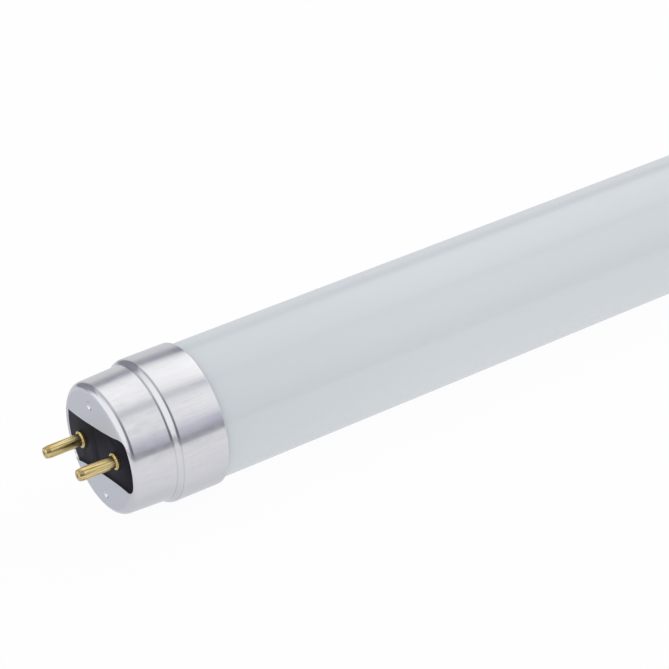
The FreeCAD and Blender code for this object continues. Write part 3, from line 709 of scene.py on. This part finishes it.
# %% A rounded block in Geometry Nodes
def rounded_block(tree, length, width, height, corner):
    """Adds the nodes of a closed block that stands on z = 0; the sizes are sockets."""
    outline = node(tree, "GeometryNodeCurvePrimitiveQuadrilateral", {"Width": length, "Height": width})
    eased = node(tree, "GeometryNodeFilletCurve", {
        "Curve": outline.outputs["Curve"], "Count": 2, "Radius": corner,
    }, mode="POLY")
    base = node(tree, "GeometryNodeFillCurve", {
        "Curve": eased.outputs["Curve"],
    }, mode="NGONS").outputs["Mesh"]
    rise = node(tree, "ShaderNodeCombineXYZ", {"Z": height}).outputs["Vector"]
    walls = node(tree, "GeometryNodeExtrudeMesh", {
        "Mesh": base, "Offset": rise, "Offset Scale": 1.0, "Individual": False,
    })
    underside = node(tree, "GeometryNodeFlipFaces", {"Mesh": base})
    both = node(tree, "GeometryNodeJoinGeometry", {"Geometry": walls.outputs["Mesh"]})
    tree.links.new(underside.outputs["Mesh"], both.inputs["Geometry"])
    return node(tree, "GeometryNodeMergeByDistance", {
        "Geometry": both.outputs["Geometry"], "Distance": MERGE,
    }).outputs["Geometry"]


def row_tree(name, sizes, pocketed):
    """A tree that repeats a rounded block along X. The sizes are its named inputs with their start values."""
    tree = bpy.data.node_groups.new(name, "GeometryNodeTree")
    for label, value in sizes.items():
        kind = "NodeSocketInt" if isinstance(value, int) else "NodeSocketFloat"
        tree.interface.new_socket(label, in_out="INPUT", socket_type=kind).default_value = value
    tree.interface.new_socket("Finish", in_out="INPUT", socket_type="NodeSocketMaterial")
    tree.interface.new_socket("Geometry", in_out="OUTPUT", socket_type="NodeSocketGeometry")
    given = node(tree, "NodeGroupInput").outputs
    block = rounded_block(tree, given["Length"], given["Width"], given["Height"], given["Corner"])
    if pocketed:
        rims = calculated(tree, "MULTIPLY", given["Rim"], 2.0)
        inner_length = calculated(tree, "SUBTRACT", given["Length"], rims)
        inner_width = calculated(tree, "SUBTRACT", given["Width"], rims)
        pocket = rounded_block(tree, inner_length, inner_width, given["Height"], given["Corner"])
        floor_height = calculated(tree, "SUBTRACT", given["Height"], given["Pocket Depth"])
        lift = node(tree, "ShaderNodeCombineXYZ", {"Z": floor_height}).outputs["Vector"]
        raised = node(tree, "GeometryNodeTransform", {
            "Geometry": pocket, "Translation": lift,
        }).outputs["Geometry"]
        block = node(tree, "GeometryNodeMeshBoolean", {
            "Mesh 1": block, "Mesh 2": raised,
        }, operation="DIFFERENCE", solver="EXACT").outputs["Mesh"]
    start = node(tree, "ShaderNodeCombineXYZ", {
        "X": given["First X"], "Z": given["Base Z"],
    }).outputs["Vector"]
    pitch = node(tree, "ShaderNodeCombineXYZ", {"X": given["Pitch"]}).outputs["Vector"]
    line = node(tree, "GeometryNodeMeshLine", {
        "Count": given["Count"], "Start Location": start, "Offset": pitch,
    }, mode="OFFSET")
    placed = node(tree, "GeometryNodeInstanceOnPoints", {"Points": line.outputs["Mesh"], "Instance": block})
    real = node(tree, "GeometryNodeRealizeInstances", {"Geometry": placed.outputs["Instances"]})
    worn = node(tree, "GeometryNodeSetMaterial", {
        "Geometry": real.outputs["Geometry"], "Material": given["Finish"],
    })
    node(tree, "NodeGroupOutput", {"Geometry": worn.outputs["Geometry"]})
    return tree


def grown(name, tree, finish):
    """Evaluates a tree once with this finish and keeps the result as a plain mesh, its faces outwards."""
    made = bpy.data.objects.new(name, bpy.data.meshes.new(name))
    bpy.context.scene.collection.objects.link(made)
    row = made.modifiers.new("row", "NODES")
    row.node_group = tree
    for socket in tree.interface.items_tree:
        if socket.name == "Finish":
            row[socket.identifier] = finish
    evaluated = made.evaluated_get(bpy.context.evaluated_depsgraph_get())
    result = bpy.data.meshes.new_from_object(evaluated)
    made.modifiers.clear()
    made.data = result
    mesh = bmesh.new()
    mesh.from_mesh(result)
    bmesh.ops.recalc_face_normals(mesh, faces=mesh.faces)
    mesh.to_mesh(result)
    mesh.free()
    return made


print("geometry helpers are ready")

# %% LED packages and phosphor
LED_COUNT = 48
LED_LENGTH = 2.8 * MM
LED_RIM = 0.4 * MM
LED_CORNER = 0.12 * MM
PHOSPHOR_SINK = 0.04 * MM
frame_low, frame_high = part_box("led_packages")
fill_low, fill_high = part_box("led_phosphor")
led_width = frame_high.y - frame_low.y
first_led = frame_low.x + LED_LENGTH / 2
led_pitch = (frame_high.x - frame_low.x - LED_LENGTH) / (LED_COUNT - 1)
package_row = row_tree("led_package_row", {
    "Length": LED_LENGTH, "Width": led_width, "Height": frame_high.z - frame_low.z, "Corner": LED_CORNER,
    "Rim": LED_RIM, "Pocket Depth": frame_high.z - fill_low.z,
    "First X": first_led, "Base Z": frame_low.z, "Pitch": led_pitch, "Count": LED_COUNT,
}, pocketed=True)
phosphor_row = row_tree("led_phosphor_row", {
    "Length": LED_LENGTH - 2 * LED_RIM, "Width": led_width - 2 * LED_RIM,
    "Height": fill_high.z - fill_low.z - PHOSPHOR_SINK, "Corner": LED_CORNER,
    "First X": first_led, "Base Z": fill_low.z, "Pitch": led_pitch, "Count": LED_COUNT,
}, pocketed=False)
finished(grown("led_packages_fine", package_row, finishes["led_body"]), "led_body", "led_packages")
finished(grown("led_phosphor_fine", phosphor_row, finishes["led_phosphor"]), "led_phosphor", "led_phosphor")
print(LED_COUNT, "LEDs,", round(led_pitch / MM, 3), "mm apart")

# %% [markdown]
# ## Floor
#
# The tube lies on white paper, and the background is plain white as well. Seen by the camera the paper is
# almost pure white and keeps only a breath of shadow, so a share of plain white is mixed over the lit paper.
# The rays that light the object see paper that glows a little: a painted glow of plain white emission, in
# place of the light that the paper of a light tent bounces. The metal mirrors the floor close by, where the
# photograph has softly darker bands beside and under the tube and a dark front edge of the table: those are
# painted shade and light, a ramp over the floor's own Y coordinate that only glossy rays see.

# %% Floor
FLOOR_NEAR, FLOOR_FAR, FLOOR_SIDE = -0.6, 0.9, 1.2
floor_z = cad_box[0].z
FLOOR_GLOW = 0.7
SHOWN_WHITE = 0.95
PAPER_COLOUR = "#F4F4F4"
PAPER_ROUGHNESS = 0.9
BAND_START, BAND_END = -0.15, 0.05
# Painted shade and light for glossy rays: darker bands for the tube's shadow beside and under it, and a dark
# front edge.
PAINTED_FLOOR_REFLECTION = [
    (-0.15, 0.36, 0.36, 0.40), (-0.088, 0.40, 0.40, 0.44), (-0.080, 0.91, 0.91, 0.94),
    (-0.050, 0.90, 0.90, 0.93), (-0.030, 0.93, 0.93, 0.96), (-0.014, 0.85, 0.85, 0.89),
    (-0.009, 0.74, 0.74, 0.78), (0.002, 0.70, 0.71, 0.76), (0.012, 0.74, 0.75, 0.80),
    (0.05, 0.74, 0.75, 0.80),
]
mesh = bpy.data.meshes.new("floor")
mesh.from_pydata([
    (-FLOOR_SIDE, FLOOR_NEAR, floor_z), (FLOOR_SIDE, FLOOR_NEAR, floor_z),
    (FLOOR_SIDE, FLOOR_FAR, floor_z), (-FLOOR_SIDE, FLOOR_FAR, floor_z),
], [], [(0, 1, 2, 3)])
floor = bpy.data.objects.new("floor", mesh)
bpy.context.scene.collection.objects.link(floor)
paper, tree, shader = material("floor_paper")
shader.inputs["Base Color"].default_value = colour(PAPER_COLOUR)
shader.inputs["Roughness"].default_value = PAPER_ROUGHNESS
rays = node(tree, "ShaderNodeLightPath")
white = node(tree, "ShaderNodeEmission", {"Color": colour("#FFFFFF"), "Strength": 1.0}).outputs["Emission"]
# Painted glow: the paper emits plain white light, which lights the object in place of light bounced off it.
lit_and_glowing_paper = node(tree, "ShaderNodeMixShader", {"Fac": FLOOR_GLOW, 1: shader.outputs["BSDF"], 2: white})
shown = node(tree, "ShaderNodeMixShader", {"Fac": SHOWN_WHITE, 1: shader.outputs["BSDF"], 2: white})
across = node(tree, "ShaderNodeSeparateXYZ", {"Vector": node(tree, "ShaderNodeTexCoord").outputs["Object"]})
painted_reflection_ramp = colour_ramp(tree, shifted(tree, across.outputs["Y"], 0.0, 1.0, BAND_START, BAND_END), [
    ((y - BAND_START) / (BAND_END - BAND_START), *shade) for y, *shade in PAINTED_FLOOR_REFLECTION
])
# The metal mirrors this painted reflection of the floor instead of the lit paper.
painted_reflection = node(tree, "ShaderNodeEmission", {"Color": painted_reflection_ramp, "Strength": 1.0}).outputs["Emission"]
seen = node(tree, "ShaderNodeMixShader", {
    "Fac": rays.outputs["Is Camera Ray"], 1: lit_and_glowing_paper.outputs["Shader"], 2: shown.outputs["Shader"],
})
mirrored = node(tree, "ShaderNodeMixShader", {
    "Fac": rays.outputs["Is Glossy Ray"], 1: seen.outputs["Shader"], 2: painted_reflection,
})
tree.links.new(mirrored.outputs["Shader"], tree.nodes["Material Output"].inputs["Surface"])
floor.data.materials.append(paper)
print("the floor lies at", round(floor_z / MM, 2), "mm")

# %% [markdown]
# ## Light tent
#
# A shiny tube shows its surroundings as bands along its length, so the light has to be right from every
# side. The world is a tent: pale cloth all round, with dark gaps where the photograph shows dark bands. A
# direction is given by two numbers, how far it points along the tube and its angle about the tube. Each
# ramp gives brightness over the angle, and five of them are mixed along the tube: behind the far end,
# towards the far side, the seams between the panels, the near side and the front. The cap's tapered nose
# mirrors a slightly different part of the tent than its collar does, and shows softer bands, so a share of
# grey is mixed in there. The camera sees plain white instead, which is the background.

# %% Ramps of the light tent
BRIGHTEST = 1.5
COLD_GREEN = 0.02
COLD_BLUE = 0.22


def tent_ramp(tree, around, stops):
    """A ramp over the angle about the tube's axis. Stops are (degrees, brightness, blueness)."""
    shades = []
    for degrees, strength, blue in stops:
        share = strength / BRIGHTEST
        shades.append((degrees / 360, share, share * (1 + COLD_GREEN * blue), share * (1 + COLD_BLUE * blue)))
    return colour_ramp(tree, around, shades)


FAR = [
    (0, 0.68, 0.0), (18, 0.74, 0.0), (28, 0.46, 0.7), (35, 0.23, 1.0), (43, 0.36, 0.9),
    (49, 0.98, 0.0), (60, 1.28, 0.0), (74, 1.37, 0.0), (96, 1.27, 0.0), (106, 1.10, 0.0),
    (112, 0.68, 0.4), (118, 0.70, 0.4), (124, 1.05, 0.1), (140, 1.11, 0.1), (151, 1.05, 0.1),
    (159, 0.96, 0.2), (167, 0.70, 0.7), (178, 0.49, 1.1), (190, 0.34, 1.2), (350, 0.68, 0.0),
]
SEAM = [
    (0, 0.30, 0.8), (46, 0.30, 0.8), (52, 0.70, 0.4), (100, 0.66, 0.4), (124, 0.32, 0.9),
    (190, 0.12, 1.3), (350, 0.30, 0.6),
]
SIDE = [
    (0, 0.36, 0.6), (44, 0.36, 0.6), (54, 1.02, 0.1), (90, 1.18, 0.1), (148, 1.12, 0.1),
    (162, 0.92, 0.3), (172, 0.34, 1.2), (190, 0.16, 1.4), (340, 0.6, 0.3),
]
FRONT = [
    (0, 0.95, 0.2), (44, 1.30, 0.1), (54, 1.10, 0.1), (90, 1.18, 0.1), (150, 1.12, 0.1),
    (190, 1.05, 0.2), (340, 0.6, 0.3),
]
END = [(0, 1.3, 0.0), (350, 1.3, 0.0)]
print("the far side has", len(FAR), "stops")

# %% World
END_STARTS = (0.58, 0.70)
NOSE_SOFTENS = (0.41, 0.44)
SEAM_STARTS = (0.05, 0.17)
SIDE_STARTS = (-0.48, -0.30)
FRONT_STARTS = (-0.64, -0.54)
NOSE_GREY = (0.6, 0.6, 0.62, 1.0)
NOSE_SHARE = 0.25
world = bpy.data.worlds.new("light_tent")
bpy.context.scene.world = world
world.use_nodes = True
tree = world.node_tree
tree.nodes.clear()
generated = node(tree, "ShaderNodeTexCoord").outputs["Generated"]
direction = node(tree, "ShaderNodeSeparateXYZ", {"Vector": generated}).outputs
turn = calculated(tree, "DIVIDE", calculated(tree, "ARCTAN2", direction["Z"], direction["Y"]), 2 * math.pi)
around = calculated(tree, "FRACT", turn)
whole = blend(tree, shifted(tree, direction["X"], 0.0, 1.0, *END_STARTS),
              tent_ramp(tree, around, FAR), tent_ramp(tree, around, END))
whole = blend(tree, shifted(tree, direction["X"], NOSE_SHARE, 0.0, *NOSE_SOFTENS), whole, NOSE_GREY)
for starts, stops in ((SEAM_STARTS, SEAM), (SIDE_STARTS, SIDE), (FRONT_STARTS, FRONT)):
    share = shifted(tree, direction["X"], 1.0, 0.0, *starts)
    whole = blend(tree, share, whole, tent_ramp(tree, around, stops))
rays = node(tree, "ShaderNodeLightPath")
tent = node(tree, "ShaderNodeBackground", {"Color": whole, "Strength": BRIGHTEST})
backdrop = node(tree, "ShaderNodeBackground", {"Color": colour("#FFFFFF"), "Strength": 1.0})
mixed = node(tree, "ShaderNodeMixShader", {
    "Fac": rays.outputs["Is Camera Ray"], 1: tent.outputs["Background"], 2: backdrop.outputs["Background"],
})
node(tree, "ShaderNodeOutputWorld", {"Surface": mixed.outputs["Shader"]})
print("the tent has", len(tree.nodes), "nodes")

# %% [markdown]
# ## Camera
#
# The camera's place was worked out from points whose real position is known: the pins' flanges and tips,
# and the face, the step and the rim of the cap. Its three angles, its place and its focal length follow from
# them. It stands 0.44 m from the cap, looks down at 23 degrees and has the perspective of a telephoto lens.
# Its axes are written as vectors, because they are measured ones, and the third is the product of the others.

# %% Camera
camera = bpy.data.objects.new("camera", bpy.data.cameras.new("camera"))
bpy.context.scene.collection.objects.link(camera)
bpy.context.scene.camera = camera
SENSOR_WIDTH = 36
FOCAL_LENGTH = 135.28
camera.data.sensor_width = SENSOR_WIDTH
camera.data.lens = FOCAL_LENGTH
PLACE = Vector((-0.4535354, -0.3687573, 0.1878830))
RIGHT = Vector((0.83003465, -0.54047382, -0.13758827))
FORWARD = Vector((0.45357191, 0.79773129, -0.39736295))
UP = RIGHT.cross(FORWARD)
camera.matrix_world = Matrix((
    (RIGHT.x, UP.x, -FORWARD.x, PLACE.x),
    (RIGHT.y, UP.y, -FORWARD.y, PLACE.y),
    (RIGHT.z, UP.z, -FORWARD.z, PLACE.z),
    (0, 0, 0, 1),
))
camera.data.clip_start, camera.data.clip_end = 0.01, 10
bpy.context.scene.view_settings.view_transform = "Standard"
print("the camera looks down at", round(math.degrees(math.asin(-FORWARD.z)), 1), "degrees")
